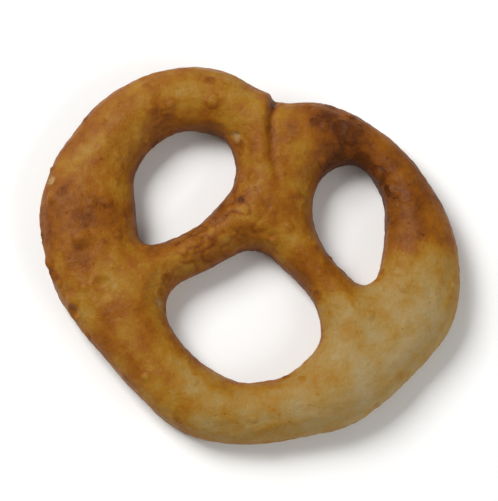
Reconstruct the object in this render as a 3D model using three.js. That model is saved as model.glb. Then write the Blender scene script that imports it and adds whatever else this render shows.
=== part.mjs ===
// A bublik: a small ring biscuit with three spokes that meet off-centre, formed from one piece of dough and
// baked as one piece, so it is one solid.
// Millimetres. +Z is up. X runs along the ring's longer side and Y along its shorter side.
// The origin is under the middle of the ring's box, on the surface that the biscuit lies on.
import * as THREE from "three";

// Heights in the dough's cross-section, from the flat underside up.
const UNDERSIDE_ROUNDING = 1.2;
const WALL_HEIGHT = 1.6;
const CROWN_HEIGHT = 3.4;
// How far the underside's rounding and the crown reach in from each wall, seen from above.
const EDGE_WIDTH = 1.9;

// How finely the curves are stepped.
const ROUNDING_STEPS = 4;
const STEP_ALONG_EDGE = 1.25;

const CRUST = { color: 0xc98a3c, roughness: 0.5, metalness: 0 };

// The ring's outer edge, anticlockwise from its left end. The rim dips at the top, where the two ends of the
// dough turn inwards together and become the upright spoke.
const OUTER_EDGE = [
  [-23.9, 3.9],
  [-22.0, -4.7],
  [-15.8, -13.0],
  [-7.8, -20.3],
  [1.2, -22.0],
  [10.0, -20.2],
  [18.0, -14.9],
  [22.7, -8.5],
  [23.8, -1.0],
  [20.8, 7.2],
  [15.6, 13.6],
  [9.4, 17.4],
  [3.0, 18.0],
  [-2.9, 21.3],
  [-9.5, 21.7],
  [-17.3, 17.6],
  [-22.4, 11.0],
];

// The three openings between the spokes.
const UPPER_LEFT_OPENING = [
  [-13.2, 4.2],
  [-12.9, 10.2],
  [-8.6, 14.2],
  [-2.8, 13.7],
  [-1.6, 8.8],
  [-4.6, 4.3],
  [-9.2, 1.1],
  [-12.6, 0.7],
];
const RIGHT_OPENING = [
  [7.0, 5.6],
  [8.7, 9.6],
  [12.2, 10.4],
  [15.0, 6.6],
  [15.0, 0.6],
  [13.3, -4.0],
  [10.5, -2.0],
  [8.0, 1.4],
];
const LOWER_OPENING = [
  [-9.0, -4.4],
  [-4.6, -2.1],
  [0.5, 0.5],
  [4.0, -1.8],
  [7.4, -6.3],
  [7.8, -10.8],
  [4.4, -14.0],
  [-1.8, -14.9],
  [-7.0, -11.7],
  [-9.6, -7.6],
];

// A smooth closed edge through the corner points, stepped evenly.
function smoothEdge(corners) {
  const through = corners.map(([x, y]) => new THREE.Vector3(x, y, 0));
  const curve = new THREE.CatmullRomCurve3(through, true, "centripetal");
  const steps = Math.round(curve.getLength() / STEP_ALONG_EDGE);
  const points = curve.getSpacedPoints(steps);
  points.pop(); // the last point repeats the first
  return points.map(({ x, y }) => new THREE.Vector2(x, y));
}

// The ring and its spokes seen from above.
function planShape() {
  const shape = new THREE.Shape(smoothEdge(OUTER_EDGE));
  for (const opening of [UPPER_LEFT_OPENING, RIGHT_OPENING, LOWER_OPENING]) {
    shape.holes.push(new THREE.Path(smoothEdge(opening)));
  }
  return shape;
}

// The shape raised into dough. An extrusion rounds both faces alike, so each face's rounding is then
// stretched to its own height: low under the biscuit, and high on the crown.
function risenDough() {
  const geometry = new THREE.ExtrudeGeometry(planShape(), {
    depth: WALL_HEIGHT,
    bevelEnabled: true,
    bevelThickness: 1,
    bevelSize: EDGE_WIDTH,
    bevelOffset: -EDGE_WIDTH,
    bevelSegments: ROUNDING_STEPS,
  });
  const position = geometry.attributes.position;
  for (let i = 0; i < position.count; i += 1) {
    const z = position.getZ(i);
    const below = Math.min(z, 0) * UNDERSIDE_ROUNDING;
    const wall = THREE.MathUtils.clamp(z, 0, WALL_HEIGHT);
    const above = Math.max(z - WALL_HEIGHT, 0) * CROWN_HEIGHT;
    position.setZ(i, UNDERSIDE_ROUNDING + below + wall + above);
  }
  geometry.computeVertexNormals();
  return geometry;
}

// The geometry moved so that the middle of its box stands over the origin.
function centred(geometry) {
  geometry.computeBoundingBox();
  const middle = geometry.boundingBox.getCenter(new THREE.Vector3());
  geometry.translate(-middle.x, -middle.y, 0);
  return geometry;
}

function makeBublik() {
  const mesh = new THREE.Mesh(centred(risenDough()), new THREE.MeshStandardMaterial(CRUST));
  mesh.name = "bublik";
  return mesh;
}

const part = new THREE.Group();
part.add(makeBublik());

export default part;
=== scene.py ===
"""A bublik on a pale floor: a baked crust, sculpted and coloured in code, replaces the plain CAD solid.

Everything is in metres, in the CAD's own frame: +Z up, the biscuit's flat underside on z = 0.
"""
import math

import bmesh
import bpy
import numpy as np
import openvdb
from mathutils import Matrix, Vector, noise


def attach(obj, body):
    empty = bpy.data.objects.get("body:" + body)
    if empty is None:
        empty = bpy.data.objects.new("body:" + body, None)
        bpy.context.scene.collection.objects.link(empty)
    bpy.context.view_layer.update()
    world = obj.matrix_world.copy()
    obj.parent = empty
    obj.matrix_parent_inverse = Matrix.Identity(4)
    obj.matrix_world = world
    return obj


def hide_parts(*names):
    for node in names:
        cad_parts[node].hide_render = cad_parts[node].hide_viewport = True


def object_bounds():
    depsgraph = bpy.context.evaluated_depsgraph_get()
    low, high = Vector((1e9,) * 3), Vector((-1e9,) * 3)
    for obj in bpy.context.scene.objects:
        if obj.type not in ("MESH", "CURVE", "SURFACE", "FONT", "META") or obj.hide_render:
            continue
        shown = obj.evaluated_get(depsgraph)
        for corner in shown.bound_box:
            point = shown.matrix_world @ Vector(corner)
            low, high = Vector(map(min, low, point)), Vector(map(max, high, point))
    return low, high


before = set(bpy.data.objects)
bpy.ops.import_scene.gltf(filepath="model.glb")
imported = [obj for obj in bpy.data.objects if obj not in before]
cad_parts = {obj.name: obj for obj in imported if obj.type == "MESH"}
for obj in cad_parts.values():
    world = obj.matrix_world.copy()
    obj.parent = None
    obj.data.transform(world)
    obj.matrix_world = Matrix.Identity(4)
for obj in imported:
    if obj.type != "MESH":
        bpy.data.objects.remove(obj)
CAD_LOW, CAD_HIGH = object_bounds()
HEIGHT = CAD_HIGH.z

MM = 0.001

# The sculpting grid, and the room that it leaves round the biscuit.
CELL = 0.22 * MM
MARGIN = 8 * CELL

# Corners of the CAD solid that lie closer than this are one corner.
WELD_GAP = 0.001 * MM

# The dough's section: heights as shares of the biscuit's height, widths in from the wall, and how softly
# the ridges along the dough are rounded.
WALL_FOOT = 0.27 * HEIGHT
WALL_TOP = 0.41 * HEIGHT
CROWN_REACH = 4.4 * MM
UNDERSIDE_REACH = 2.3 * MM
RIDGE_SOFTNESS = 0.6 * MM

# Every opening lies within this radius of the middle, and the outer wall outside it. The two kinds of wall
# blend over this distance on either side of it.
OPENINGS_WITHIN = 17.4 * MM
OPENINGS_BLEND = 0.03 * OPENINGS_WITHIN

# The seam where the two ends of the dough lie side by side, from the spokes up to the dip in the rim.
SEAM_Y = np.array([6.0, 10.5, 14.5, 18.8]) * MM
SEAM_X = np.array([3.5, 2.5, 2.3, 3.1]) * MM
SEAM_DEPTH = 0.7 * MM
SEAM_WIDTH = 0.5 * MM
# The dough is raised to the seam's left and lowered to its right, by SEAM_STEP for each SEAM_WIDTH aside.
# Both fade out over SEAM_STEP_WIDTH.
SEAM_STEP = 0.22 * MM
SEAM_STEP_WIDTH = 1.1 * MM

# A wall turns into top between these upward parts of the normal, and into underside between these
# downward parts.
TOP_FACING = (-0.2, 0.4)
UNDER_FACING = (0.5, 0.9)
# The share of the relief that the underside loses, because it baked flat on a tray.
UNDER_FLATNESS = 0.9

# What noise raises on the crust: how far across, and how high.
SWELL_SIZE = 10 * MM
SWELL_HEIGHT = 0.45 * MM
LUMP_SIZE = 3.4 * MM
LUMP_HEIGHT = 0.13 * MM
GRAIN_SIZE = 0.75 * MM
GRAIN_HEIGHT = 0.07 * MM
# Pits in the flat underside, which open and reach their depth at these values of the noise.
PIT_SIZE = 1.2 * MM
PIT_DEPTH = 0.22 * MM
PIT_OPENS = (0.25, 0.6)
# Creases that run along the dough, deeper on its walls.
CREASE_LENGTH = 6 * MM
CREASE_WIDTH = 1.5 * MM
CREASE_DEPTH = 0.07 * MM
WALL_CREASE_DEPTH = 0.13 * MM

# Where each noise is read, so that no two follow each other. The creases have coordinates of their own.
NOISE_OFFSETS = {
    "swells": 0.0,
    "creases": 0.0,
    "tears": 3.3,
    "grain": 5.3,
    "small_tears": 8.8,
    "chip_edges": 9.1,
    "broad_browning": 12.9,
    "blister_edges": 17.3,
    "pits": 21.4,
    "lumps": 31.7,
    "small_browning": 77.1,
}

# Blisters: where they crowd (x, y), how far they spread, how many, and their usual radius.
BLISTER_CROWDS = [
    (9.5 * MM, 13.6 * MM, 3.0 * MM, 5, 0.8 * MM),
    (-12.0 * MM, 17.0 * MM, 3.5 * MM, 5, 0.8 * MM),
    (-18.5 * MM, 2.0 * MM, 6.0 * MM, 9, 0.9 * MM),
    (0.0 * MM, 0.0 * MM, 20.0 * MM, 90, 0.5 * MM),
]
# The smallest and largest radius, as shares of the usual one, and the height as a share of the radius.
BLISTER_SPAN = (0.6, 1.5)
BLISTER_RISE = 0.34
# How far noise pushes the outline in and out, as a share of the radius, and the size of that noise.
BLISTER_UNEVENNESS = 0.35
BLISTER_EDGE_SIZE = 1.1 * MM
# The rim's place and width, as shares of the radius, and how scorched it is.
RIM_PLACE = 0.85
RIM_WIDTH = 0.22
RIM_SCORCH = 0.3
# The share of blisters that burst. Each leaves a rim and a hollow, given as shares of a whole blister's
# height, and both are scorched.
BURST_SHARE = 0.2
BURST_RIM = 0.4
BURST_HOLLOW = 0.45
BURST_SCORCH = 0.5
SEED = 7

# Where the skin puffed up and tore into small lumps with scorched gaps: (x, y, how far it spreads).
TORN_PATCHES = [
    (-5.5 * MM, 0.4 * MM, 2.4 * MM),
    (-0.8 * MM, 3.8 * MM, 2.0 * MM),
]
TORN_SIZE = 2.1 * MM
TORN_HEIGHT = 0.4 * MM
# How much noise of half the size adds to the tears' route.
TORN_DETAIL = 0.35
# A torn lump rises with the square root of the noise, from a tear to its flat top. These are the top's
# height and the smooth skin's, as shares of TORN_HEIGHT above the tears.
TORN_TOP = 0.6
SKIN_LEVEL = 0.35
# The noise at which a tear's scorch has faded to about a third.
TEAR_WIDTH = 0.09

# Chips: how ragged noise makes the edge, as a share of the radius, and the size of that noise.
CHIP_RAGGEDNESS = 0.7
CHIP_RAGGED_SIZE = 1.0 * MM
# A chip starts at the first of these shares of its radius, and is fully open at the second.
CHIP_EDGE = (1.05, 0.35)
# Its floor as a share of its depth, and how far the same noise moves the floor.
CHIP_FLOOR = 0.8
CHIP_UNEVENNESS = 0.4
# Where the skin is rubbed away to the pale crumb: (x, y, z, radius, depth).
CHIPS = [
    (-22.9 * MM, 8.0 * MM, 4.2 * MM, 0.85 * MM, 0.45 * MM),
    (-1.2 * MM, 13.2 * MM, 4.6 * MM, 0.9 * MM, 0.4 * MM),
    (-10.2 * MM, -6.4 * MM, 4.4 * MM, 0.9 * MM, 0.35 * MM),
    (13.8 * MM, -17.3 * MM, 3.2 * MM, 1.0 * MM, 0.4 * MM),
]

# Browning is this much in the middle, and grows by SIDE_SHARE about 20 mm towards one side. The paler far
# side, at the lower right, is partly painted glare.
BROWN_START = 0.44
BROWN_SIDE = np.array([-0.95, 0.25, 0.0]) / (20 * MM)
SIDE_SHARE = 0.2
# It varies in broad and small patches, the small ones stronger on top.
BROAD_SIZE = 9 * MM
BROAD_SHARE = 0.15
SMALL_SIZE = 2.8 * MM
SMALL_SHARE = 0.12
SMALL_SHARE_ON_TOP = 0.1
# How much each of the marks left by the sculpting darkens the crust. The outer wall, scorch and creases
# are the crust's own browning; the seam's groove is painted shade, and the openings' walls are browned and
# darkened further as painted shade.
DARKENED_BY = {
    # Painted shade on the openings' walls, over their browning.
    "opening_wall": 0.3,
    "outer_wall": 0.12,
    "scorch": 0.3,
    # Painted shade in the seam's groove.
    "seam": 0.3,
    "crease": 0.06,
}
# Places that are browner or paler than the rest, two of them partly by painted shadow and one by painted
# glare: (x, y, how far it spreads, how much).
BROWN_SHADE_AND_GLARE_PATCHES = [
    (-5.0 * MM, 1.0 * MM, 3.5 * MM, 0.14),
    (1.0 * MM, 5.0 * MM, 4.5 * MM, 0.19),
    (0.5 * MM, 12.0 * MM, 2.2 * MM, 0.12),
    (5.4 * MM, 10.5 * MM, 2.0 * MM, -0.24),
    # The next two, on the upper right and the right band, are partly their own browning and partly painted
    # shadow of a neighbouring ring.
    (10.0 * MM, 13.5 * MM, 4.5 * MM, 0.46),
    (19.5 * MM, 5.0 * MM, 6.8 * MM, 0.45),
    (-19.5 * MM, 4.0 * MM, 3.5 * MM, 0.08),
    (-18.0 * MM, 15.0 * MM, 5.0 * MM, 0.05),
    (-17.0 * MM, -4.5 * MM, 3.0 * MM, -0.08),
    (-6.0 * MM, 18.5 * MM, 4.0 * MM, -0.08),
    (8.5 * MM, -2.5 * MM, 3.0 * MM, 0.22),
    # Painted glare, which pales the lower right.
    (17.0 * MM, -9.0 * MM, 5.0 * MM, -0.08),
    (0.0 * MM, -19.0 * MM, 5.0 * MM, -0.08),
    (2.0 * MM, -14.0 * MM, 1.6 * MM, 0.26),
]


def smoothstep(low, high, value):
    """0 up to low, 1 from high on, and a smooth change between them; low may be the larger."""
    share = np.clip((value - low) / (high - low), 0, 1)
    return share * share * (3 - 2 * share)


# ---------------------------------------------------------------- shape


def wall_segments(node):
    """The outline of the node's walls seen from above, as pairs of points."""
    mesh = bmesh.new()
    mesh.from_mesh(node.data)
    bmesh.ops.remove_doubles(mesh, verts=mesh.verts, dist=WELD_GAP)
    middle = (0, 0, (WALL_FOOT + WALL_TOP) / 2)
    geometry = mesh.verts[:] + mesh.edges[:] + mesh.faces[:]
    cut = bmesh.ops.bisect_plane(mesh, geom=geometry, plane_co=middle, plane_no=(0, 0, 1))
    edges = [item for item in cut["geom_cut"] if isinstance(item, bmesh.types.BMEdge)]
    segments = np.array([[vert.co[:2] for vert in edge.verts] for edge in edges])
    mesh.free()
    return segments


def signed_distance(x, y, segments):
    """How far each point is inside the outline, negative outside it."""
    start = segments[:, 0]
    along = segments[:, 1] - start
    length_squared = (along**2).sum(axis=1)
    distance = np.empty(x.shape)
    for row in range(x.shape[0]):
        to_x = x[row][:, None] - start[:, 0]
        to_y = y[row][:, None] - start[:, 1]
        share = np.clip((to_x * along[:, 0] + to_y * along[:, 1]) / length_squared, 0, 1)
        gap = np.hypot(to_x - share * along[:, 0], to_y - share * along[:, 1]).min(axis=1)
        straddles = (to_y >= 0) != (to_y >= along[:, 1])
        crossing = to_x < along[:, 0] * to_y / np.where(along[:, 1] == 0, 1, along[:, 1])
        inside = (straddles & crossing).sum(axis=1) % 2 == 1
        distance[row] = np.where(inside, gap, -gap)
    return distance


def blurred(field, reach):
    """The field softened both ways by a bell curve of that reach, in cells."""
    # Nearly all of a bell curve lies within three times its reach.
    half = math.ceil(3 * reach)
    bell = np.exp(-0.5 * (np.arange(-half, half + 1) / reach) ** 2)
    bell /= bell.sum()
    for axis in (0, 1):
        padding = [(0, 0), (0, 0)]
        padding[axis] = (half, half)
        padded = np.pad(field, padding, mode="edge")
        field = np.apply_along_axis(np.convolve, axis, padded, bell, mode="valid")
    return field


def looked_up(field, low, points):
    """The field's value under each point, between its four nearest cells."""
    cells = (points[:, :2] - low[:2]) / CELL
    corner = np.clip(np.floor(cells).astype(int), 0, np.array(field.shape) - 2)
    part_x, part_y = (cells - corner).T
    x, y = corner.T
    near = field[x, y] * (1 - part_y) + field[x, y + 1] * part_y
    far = field[x + 1, y] * (1 - part_y) + field[x + 1, y + 1] * part_y
    return near * (1 - part_x) + far * part_x


def risen_dough(node):
    """The smooth dough, round-shouldered, domed above and flat beneath: points, quads, and how far in
    from the walls each point lies."""
    low = np.array(CAD_LOW) - MARGIN
    counts = np.ceil((np.array(CAD_HIGH) + MARGIN - low) / CELL).astype(int)
    x, y, z = (low[axis] + CELL * np.arange(counts[axis]) for axis in range(3))
    plan = signed_distance(*np.meshgrid(x, y, indexing="ij"), wall_segments(node))
    inward = blurred(np.minimum(plan, CROWN_REACH), RIDGE_SOFTNESS / CELL)[:, :, None]

    crown_rise = np.maximum(z - WALL_TOP, 0) / (HEIGHT - WALL_TOP)
    crown = CROWN_REACH * (1 - np.hypot(1 - inward / CROWN_REACH, crown_rise))
    foot_drop = np.maximum(WALL_FOOT - z, 0) / WALL_FOOT
    under = np.minimum(inward / UNDERSIDE_REACH, 1)
    foot = UNDERSIDE_REACH * (1 - np.hypot(1 - under, foot_drop))
    dough = np.where(z > WALL_FOOT, crown, foot)

    # The grid is negative in the dough and positive in the air, which is also what its background is.
    grid = openvdb.FloatGrid(background=3 * CELL)
    grid.copyFromArray(-dough.astype(np.float32))
    cells, quads = grid.convertToQuads(isovalue=0.0)
    points = low + cells.astype(float) * CELL
    return points, quads, looked_up(plan, low, points)


def normals_of(points, quads):
    """The outward direction at each point."""
    across = points[quads[:, 2]] - points[quads[:, 0]]
    back = points[quads[:, 3]] - points[quads[:, 1]]
    facing = np.cross(across, back)
    normals = np.zeros_like(points)
    for corner in range(4):
        for axis in range(3):
            normals[:, axis] += np.bincount(
                quads[:, corner], weights=facing[:, axis], minlength=len(points)
            )
    return normals / np.linalg.norm(normals, axis=1)[:, None]


def noise_at(points, size, use):
    """Smooth noise from -1 to 1 at each point, with features about that size."""
    places = points / size + NOISE_OFFSETS[use]
    return np.array([noise.noise(place) for place in places.tolist()])


def creases(points, inward):
    """Noise stretched along the dough: it changes quickly over a strand's section and slowly along it."""
    turn = np.arctan2(points[:, 1], points[:, 0])
    ring = CAD_HIGH.x / CREASE_LENGTH
    over = (points[:, 2] + inward) / CREASE_WIDTH
    # These places are already counted in creases, so the noise's own size is 1.
    places = np.column_stack([ring * np.cos(turn), ring * np.sin(turn), over])
    return noise_at(places, 1, "creases")


def blistered(points, top):
    """How far blisters raise each point, and how strongly each is scorched by them."""
    rng = np.random.default_rng(SEED)
    raised = np.zeros(len(points))
    scorched = np.zeros(len(points))
    uneven = 1 + BLISTER_UNEVENNESS * noise_at(points, BLISTER_EDGE_SIZE, "blister_edges")
    for x, y, spread, count, usual_radius in BLISTER_CROWDS:
        away = np.hypot(points[:, 0] - x, points[:, 1] - y)
        # A blister's centre lies only where a point is more top than wall.
        chance = np.exp(-0.5 * (away / spread) ** 2) * (top > 0.5)
        centres = rng.choice(len(points), size=count, p=chance / chance.sum())
        for centre in centres:
            radius = usual_radius * rng.uniform(*BLISTER_SPAN)
            share = np.linalg.norm(points - points[centre], axis=1) / radius * uneven
            dome = np.clip(1 - share**2, 0, 1) ** 2
            rim = np.exp(-(((share - RIM_PLACE) / RIM_WIDTH) ** 2))
            if rng.random() < BURST_SHARE:
                raised += BLISTER_RISE * radius * (BURST_RIM * rim - BURST_HOLLOW * dome)
                scorched += BURST_SCORCH * (rim + dome)
            else:
                raised += BLISTER_RISE * radius * dome
                scorched += RIM_SCORCH * rim
    return raised, np.clip(scorched, 0, 1)


def torn(points, top):
    """How far torn skin raises each point, and how strongly each is scorched in the tears."""
    patch = np.zeros(len(points))
    for x, y, spread in TORN_PATCHES:
        away = np.hypot(points[:, 0] - x, points[:, 1] - y)
        patch = np.maximum(patch, np.exp(-0.5 * (away / spread) ** 2))
    patch *= top
    # The tears follow the lines where the noise is zero.
    detail = TORN_DETAIL * noise_at(points, TORN_SIZE / 2, "small_tears")
    swing = np.abs(noise_at(points, TORN_SIZE, "tears") + detail)
    raised = patch * TORN_HEIGHT * (np.minimum(np.sqrt(swing), TORN_TOP) - SKIN_LEVEL)
    return raised, patch * np.exp(-((swing / TEAR_WIDTH) ** 2))


def chipped(points):
    """How far chips sink each point, and where the crumb shows."""
    sunk = np.zeros(len(points))
    crumb = np.zeros(len(points))
    ragged = noise_at(points, CHIP_RAGGED_SIZE, "chip_edges")
    for x, y, z, radius, depth in CHIPS:
        share = np.linalg.norm(points - (x, y, z), axis=1) / radius + CHIP_RAGGEDNESS * ragged
        broken = smoothstep(*CHIP_EDGE, share)
        sunk -= depth * broken * (CHIP_FLOOR + CHIP_UNEVENNESS * ragged)
        crumb = np.maximum(crumb, broken)
    return sunk, crumb


def pitted(points, under):
    """How far up each point moves where a pit opens in the underside."""
    return PIT_DEPTH * under * smoothstep(*PIT_OPENS, noise_at(points, PIT_SIZE, "pits"))


def seam_groove(points, top):
    """How far each point moves at the seam, and how near it each point is."""
    aside = points[:, 0] - np.interp(points[:, 1], SEAM_Y, SEAM_X)
    strength = np.sqrt(smoothstep(SEAM_Y[0], SEAM_Y[-1], points[:, 1])) * top
    groove = np.exp(-((aside / SEAM_WIDTH) ** 2)) * strength
    step = -aside / SEAM_WIDTH * np.exp(-0.5 * (aside / SEAM_STEP_WIDTH) ** 2) * strength
    return SEAM_STEP * step - SEAM_DEPTH * groove, groove


def wall_marks(points, wall):
    """How strongly each point counts as the wall of an opening, and as the outer wall."""
    radius = np.hypot(points[:, 0], points[:, 1])
    outer = smoothstep(OPENINGS_WITHIN - OPENINGS_BLEND, OPENINGS_WITHIN + OPENINGS_BLEND, radius)
    return (wall * (1 - outer)) ** 2, (wall * outer) ** 2


def fitted(points):
    """The points stretched to fill the CAD's own box exactly."""
    low, high = points.min(axis=0), points.max(axis=0)
    room = np.array(CAD_HIGH) - np.array(CAD_LOW)
    return np.array(CAD_LOW) + (points - low) * room / (high - low)


def sculpted(points, quads, inward):
    """The dough's points after baking, and what its colours follow."""
    normals = normals_of(points, quads)
    top = smoothstep(*TOP_FACING, normals[:, 2])
    under = smoothstep(*UNDER_FACING, -normals[:, 2])
    loose = (1 - UNDER_FLATNESS * under)[:, None]

    swell = noise_at(points, SWELL_SIZE, "swells") * SWELL_HEIGHT
    lump = noise_at(points, LUMP_SIZE, "lumps") * LUMP_HEIGHT
    points = points + normals * loose * (swell + lump)[:, None]
    groove, seam = seam_groove(points, top)
    points = points + normals * groove[:, None]

    normals = normals_of(points, quads)
    wall = 1 - np.abs(normals[:, 2])
    crease = creases(points, inward)
    blister, scorch = blistered(points, top)
    skin, tears = torn(points, top)
    chip, crumb = chipped(points)
    grain = noise_at(points, GRAIN_SIZE, "grain") * GRAIN_HEIGHT
    fine = crease * (CREASE_DEPTH + (WALL_CREASE_DEPTH - CREASE_DEPTH) * wall)
    fine += blister + skin + chip + grain
    points = points + normals * loose * fine[:, None]
    points[:, 2] = np.maximum(points[:, 2], 0) + pitted(points, under)

    opening_wall, outer_wall = wall_marks(points, wall)
    marks = {
        "top": top,
        "under": under,
        "opening_wall": opening_wall,
        "outer_wall": outer_wall,
        "scorch": np.clip(scorch + tears, 0, 1),
        "crumb": crumb,
        "seam": seam,
        "crease": crease,
    }
    return fitted(points), marks


def browning_and_shade(points, marks):
    """How dark each point is coloured, from 0, pale straw, to 1, dark reddish brown: its browning, with
    the painted shade, shadow and glare set above.
    """
    broad = noise_at(points, BROAD_SIZE, "broad_browning")
    small = noise_at(points, SMALL_SIZE, "small_browning")
    brown = BROWN_START + SIDE_SHARE * (points @ BROWN_SIDE) + BROAD_SHARE * broad
    brown += (SMALL_SHARE + SMALL_SHARE_ON_TOP * marks["top"]) * small
    for x, y, spread, amount in BROWN_SHADE_AND_GLARE_PATCHES:
        away = np.hypot(points[:, 0] - x, points[:, 1] - y)
        brown += amount * np.exp(-0.5 * (away / spread) ** 2)
    # The seam's and the openings' marks add painted shade here.
    for name, share in DARKENED_BY.items():
        brown += share * marks[name]
    return np.clip(brown, 0, 1)


def make_crust():
    """The biscuit's whole surface, with the values that its material reads."""
    points, quads, inward = risen_dough(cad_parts["bublik"])
    points, marks = sculpted(points, quads, inward)
    # The browning carries painted shade, shadow and glare as well.
    shaded = {"bake_and_shade": browning_and_shade(points, marks), "under": marks["under"], "crumb": marks["crumb"]}
    data = bpy.data.meshes.new("bublik_crust")
    data.from_pydata(points.tolist(), [], quads.tolist())
    data.shade_smooth()
    for name, values in shaded.items():
        attribute = data.attributes.new(name, "FLOAT", "POINT")
        attribute.data.foreach_set("value", values.astype(np.float32))
    piece = bpy.data.objects.new("bublik_crust", data)
    bpy.context.scene.collection.objects.link(piece)
    return piece


# ---------------------------------------------------------------- finish


# Colours of the crust and the underside by how brown they are, and of the crumb by its grain:
# (position, (red, green, blue)).
CRUST_COLOURS = [
    (0.0, (0.315, 0.23, 0.108)),
    (0.25, (0.305, 0.186, 0.05)),
    (0.45, (0.285, 0.131, 0.011)),
    (0.65, (0.232, 0.076, 0.004)),
    (0.85, (0.158, 0.044, 0.003)),
    (1.0, (0.08, 0.021, 0.003)),
]
UNDERSIDE_COLOURS = [
    (0.0, (0.42, 0.29, 0.13)),
    (0.55, (0.36, 0.20, 0.06)),
    (1.0, (0.24, 0.10, 0.02)),
]
CRUMB_COLOURS = [
    (0.3, (0.37, 0.225, 0.09)),
    (0.7, (0.23, 0.115, 0.03)),
]
CRUMB_GRAIN = 0.3 * MM

# How many finer layers each of the shader's noises has.
NOISE_DETAIL = 3

# Mottling over the browning: (size across, share). Its mean is taken off again.
MOTTLING = [(1.3 * MM, 0.45), (0.35 * MM, 0.22)]
MOTTLING_MEAN = 0.5 * sum(share for _, share in MOTTLING)
# Specks over the browning, first brown and then pale ones: (spacing, radius, share).
SPECKS = [(1.7 * MM, 0.3 * MM, 0.16), (2.3 * MM, 0.25 * MM, -0.12)]

# The roughness varies in patches, and the underside is rougher. Where the sum of the two goes through
# SHEEN_SPAN, the roughness goes through ROUGHNESS.
SHEEN_PATCHES = 2.2 * MM
UNDER_MATTNESS = 0.9
SHEEN_SPAN = (0.2, 1.2)
ROUGHNESS = (0.34, 0.7)
SPECULAR_LEVEL = 0.1

# The finest relief, too small for the mesh: grain of two sizes, and pores (spacing, radius, share).
BUMP_HEIGHT = 0.1 * MM
BUMP_GRAIN = 0.5 * MM
BUMP_FINE_GRAIN = 0.16 * MM
BUMP_FINE_SHARE = 0.5
BUMP_PORES = (1.1 * MM, 0.16 * MM, -0.8)


def add_node(tree, kind, inputs=None, **settings):
    """A new node with those settings; each input takes a value or another node's output."""
    made = tree.nodes.new(kind)
    for name, value in settings.items():
        setattr(made, name, value)
    for name, value in (inputs or {}).items():
        if isinstance(value, bpy.types.NodeSocket):
            tree.links.new(value, made.inputs[name])
        else:
            made.inputs[name].default_value = value
    return made


def mark(tree, name):
    """One of the values that the sculpting left on the mesh."""
    return add_node(tree, "ShaderNodeAttribute", attribute_name=name).outputs["Fac"]


def added(tree, first, second, share):
    """first + second * share."""
    inputs = {0: second, 1: share, 2: first}
    return add_node(tree, "ShaderNodeMath", inputs, operation="MULTIPLY_ADD").outputs[0]


def mottle(tree, place, size):
    """Noise from 0 to 1 with features about that size."""
    inputs = {"Vector": place, "Scale": 1 / size, "Detail": NOISE_DETAIL}
    return add_node(tree, "ShaderNodeTexNoise", inputs).outputs["Fac"]


def spots(tree, place, spacing, radius):
    """1 in the middle of scattered round spots of about that radius, and 0 between them."""
    inputs = {"Vector": place, "Scale": 1 / spacing}
    cells = add_node(tree, "ShaderNodeTexVoronoi", inputs).outputs["Distance"]
    inputs = {"Value": cells, "From Min": radius / spacing, "From Max": 0.0}
    return add_node(tree, "ShaderNodeMapRange", inputs, interpolation_type="SMOOTHSTEP").outputs[0]


def ramp(tree, value, stops):
    """The colour that the stops give for value."""
    made = add_node(tree, "ShaderNodeValToRGB", {"Fac": value})
    elements = made.color_ramp.elements
    while len(elements) < len(stops):
        elements.new(1)
    for element, (position, colour) in zip(elements, stops):
        element.position = position
        element.color = (*colour, 1)
    return made.outputs["Color"]


def mixed(tree, share, first, second):
    """The first colour turning into the second as share goes from 0 to 1."""
    inputs = {"Factor": share, "A": first, "B": second}
    mix = add_node(tree, "ShaderNodeMix", data_type="RGBA")
    for name, value in inputs.items():
        # Sockets of every data type share these names, so the right one is the one in use.
        socket = next(item for item in mix.inputs if item.name == name and item.enabled)
        tree.links.new(value, socket)
    return next(item for item in mix.outputs if item.enabled)


def crust_colour(tree, place):
    """Mottled straw to red-brown, with the painted shade, shadow and glare that the browning carries,
    paler beneath and where the crumb shows.
    """
    # This mark is the browning together with its painted shade, shadow and glare.
    brown = mark(tree, "bake_and_shade")
    for size, share in MOTTLING:
        brown = added(tree, brown, mottle(tree, place, size), share)
    for spacing, radius, share in SPECKS:
        brown = added(tree, brown, spots(tree, place, spacing, radius), share)
    inputs = {0: brown, 1: MOTTLING_MEAN}
    brown = add_node(tree, "ShaderNodeMath", inputs, operation="SUBTRACT").outputs[0]
    crust = ramp(tree, brown, CRUST_COLOURS)
    under = ramp(tree, brown, UNDERSIDE_COLOURS)
    crumb = ramp(tree, mottle(tree, place, CRUMB_GRAIN), CRUMB_COLOURS)
    skin = mixed(tree, mark(tree, "under"), crust, under)
    return mixed(tree, mark(tree, "crumb"), skin, crumb)


def crust_roughness(tree, place):
    """Satin in patches on top, and matt beneath."""
    rough = added(tree, mottle(tree, place, SHEEN_PATCHES), mark(tree, "under"), UNDER_MATTNESS)
    inputs = {
        "Value": rough,
        "From Min": SHEEN_SPAN[0],
        "From Max": SHEEN_SPAN[1],
        "To Min": ROUGHNESS[0],
        "To Max": ROUGHNESS[1],
    }
    return add_node(tree, "ShaderNodeMapRange", inputs).outputs[0]


def crust_bump(tree, place):
    """Grain and pores finer than the mesh."""
    fine = mottle(tree, place, BUMP_FINE_GRAIN)
    grain = added(tree, mottle(tree, place, BUMP_GRAIN), fine, BUMP_FINE_SHARE)
    spacing, radius, share = BUMP_PORES
    grain = added(tree, grain, spots(tree, place, spacing, radius), share)
    inputs = {"Height": grain, "Strength": 1, "Distance": BUMP_HEIGHT}
    return add_node(tree, "ShaderNodeBump", inputs).outputs["Normal"]


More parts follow.
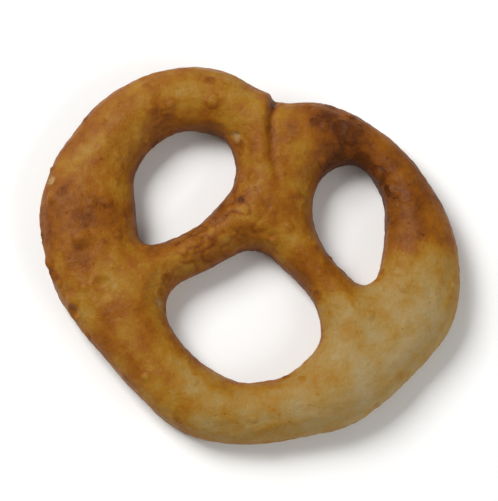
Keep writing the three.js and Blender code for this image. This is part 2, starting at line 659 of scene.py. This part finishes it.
def crust_material():
    """Baked dough."""
    material = bpy.data.materials.new("baked_crust")
    material.use_nodes = True
    tree = material.node_tree
    shader = tree.nodes["Principled BSDF"]
    place = add_node(tree, "ShaderNodeTexCoord").outputs["Object"]
    tree.links.new(crust_colour(tree, place), shader.inputs["Base Color"])
    tree.links.new(crust_roughness(tree, place), shader.inputs["Roughness"])
    tree.links.new(crust_bump(tree, place), shader.inputs["Normal"])
    shader.inputs["Specular IOR Level"].default_value = SPECULAR_LEVEL
    return material


# ---------------------------------------------------------------- stage


# The floor is flat up to its radius, and beyond that sweeps up along an arc.
FLOOR_RADIUS = 0.45
SWEEP_RADIUS = 0.4
SWEEP_ANGLE = math.radians(80)
SWEEP_STEPS = 24
TURN_STEPS = 96
FLOOR_WELD_GAP = 1 * MM
FLOOR_COLOUR = (0.86, 0.86, 0.85, 1)
FLOOR_ROUGHNESS = 0.8

CAMERA_LENS = 200
CAMERA_DISTANCE = 0.315
CAMERA_ELEVATION = math.radians(76)

# The key from the upper left, and a weaker fill: (name, place, size, power in watts).
SOFTBOXES = [
    ("key", (-0.25, 0.21, 0.36), 0.25, 2.7),
    ("fill", (0.36, -0.22, 0.26), 0.3, 1.0),
]
ROOM_LIGHT = 0.25


def floor_profile():
    """The floor's section from its middle outwards: (radius, height)."""
    profile = [(0, 0), (FLOOR_RADIUS, 0)]
    for step in range(1, SWEEP_STEPS + 1):
        turn = SWEEP_ANGLE * step / SWEEP_STEPS
        radius = FLOOR_RADIUS + SWEEP_RADIUS * math.sin(turn)
        profile.append((radius, SWEEP_RADIUS * (1 - math.cos(turn))))
    return profile


def floor_mesh():
    """The floor's section turned all the way round."""
    mesh = bmesh.new()
    verts = [mesh.verts.new((radius, 0, height)) for radius, height in floor_profile()]
    edges = [mesh.edges.new(pair) for pair in zip(verts, verts[1:])]
    bmesh.ops.spin(
        mesh,
        geom=verts + edges,
        cent=(0, 0, 0),
        axis=(0, 0, 1),
        angle=2 * math.pi,
        steps=TURN_STEPS,
    )
    bmesh.ops.remove_doubles(mesh, verts=mesh.verts, dist=FLOOR_WELD_GAP)
    bmesh.ops.recalc_face_normals(mesh, faces=mesh.faces)
    data = bpy.data.meshes.new("floor")
    mesh.to_mesh(data)
    mesh.free()
    data.shade_smooth()
    return data


def floor_material():
    """Plain and pale."""
    material = bpy.data.materials.new("pale_floor")
    material.use_nodes = True
    shader = material.node_tree.nodes["Principled BSDF"]
    shader.inputs["Base Color"].default_value = FLOOR_COLOUR
    shader.inputs["Roughness"].default_value = FLOOR_ROUGHNESS
    return material


def make_floor():
    """A round pale floor whose rim sweeps up all round."""
    data = floor_mesh()
    data.materials.append(floor_material())
    floor = bpy.data.objects.new("floor", data)
    bpy.context.scene.collection.objects.link(floor)


def aim(thing, place, target):
    """Adds a camera or light at place, looking at target."""
    thing.location = place
    thing.rotation_euler = (Vector(target) - Vector(place)).to_track_quat("-Z", "Y").to_euler()
    bpy.context.scene.collection.objects.link(thing)


def add_softbox(name, place, size, power):
    """A square area light aimed at the biscuit."""
    light = bpy.data.lights.new(name, "AREA")
    light.size = size
    light.energy = power
    aim(bpy.data.objects.new(name, light), place, (0, 0, 0))


def add_camera():
    """Looks down on the biscuit from its lower side, close enough to fill the frame."""
    camera = bpy.data.cameras.new("camera")
    camera.lens = CAMERA_LENS
    holder = bpy.data.objects.new("camera", camera)
    target = Vector((0, 0, HEIGHT / 2))
    back = Vector((0, -math.cos(CAMERA_ELEVATION), math.sin(CAMERA_ELEVATION)))
    aim(holder, target + CAMERA_DISTANCE * back, target)
    bpy.context.scene.camera = holder


def light_the_room():
    """Even soft light from all round, and the softboxes."""
    world = bpy.data.worlds.new("studio")
    world.use_nodes = True
    background = world.node_tree.nodes["Background"]
    background.inputs["Color"].default_value = (1, 1, 1, 1)
    background.inputs["Strength"].default_value = ROOM_LIGHT
    bpy.context.scene.world = world
    for softbox in SOFTBOXES:
        add_softbox(*softbox)
    bpy.context.scene.view_settings.view_transform = "Standard"


crust = make_crust()
crust.data.materials.append(crust_material())
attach(crust, "root")
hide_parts("bublik")
make_floor()
add_camera()
light_the_room()
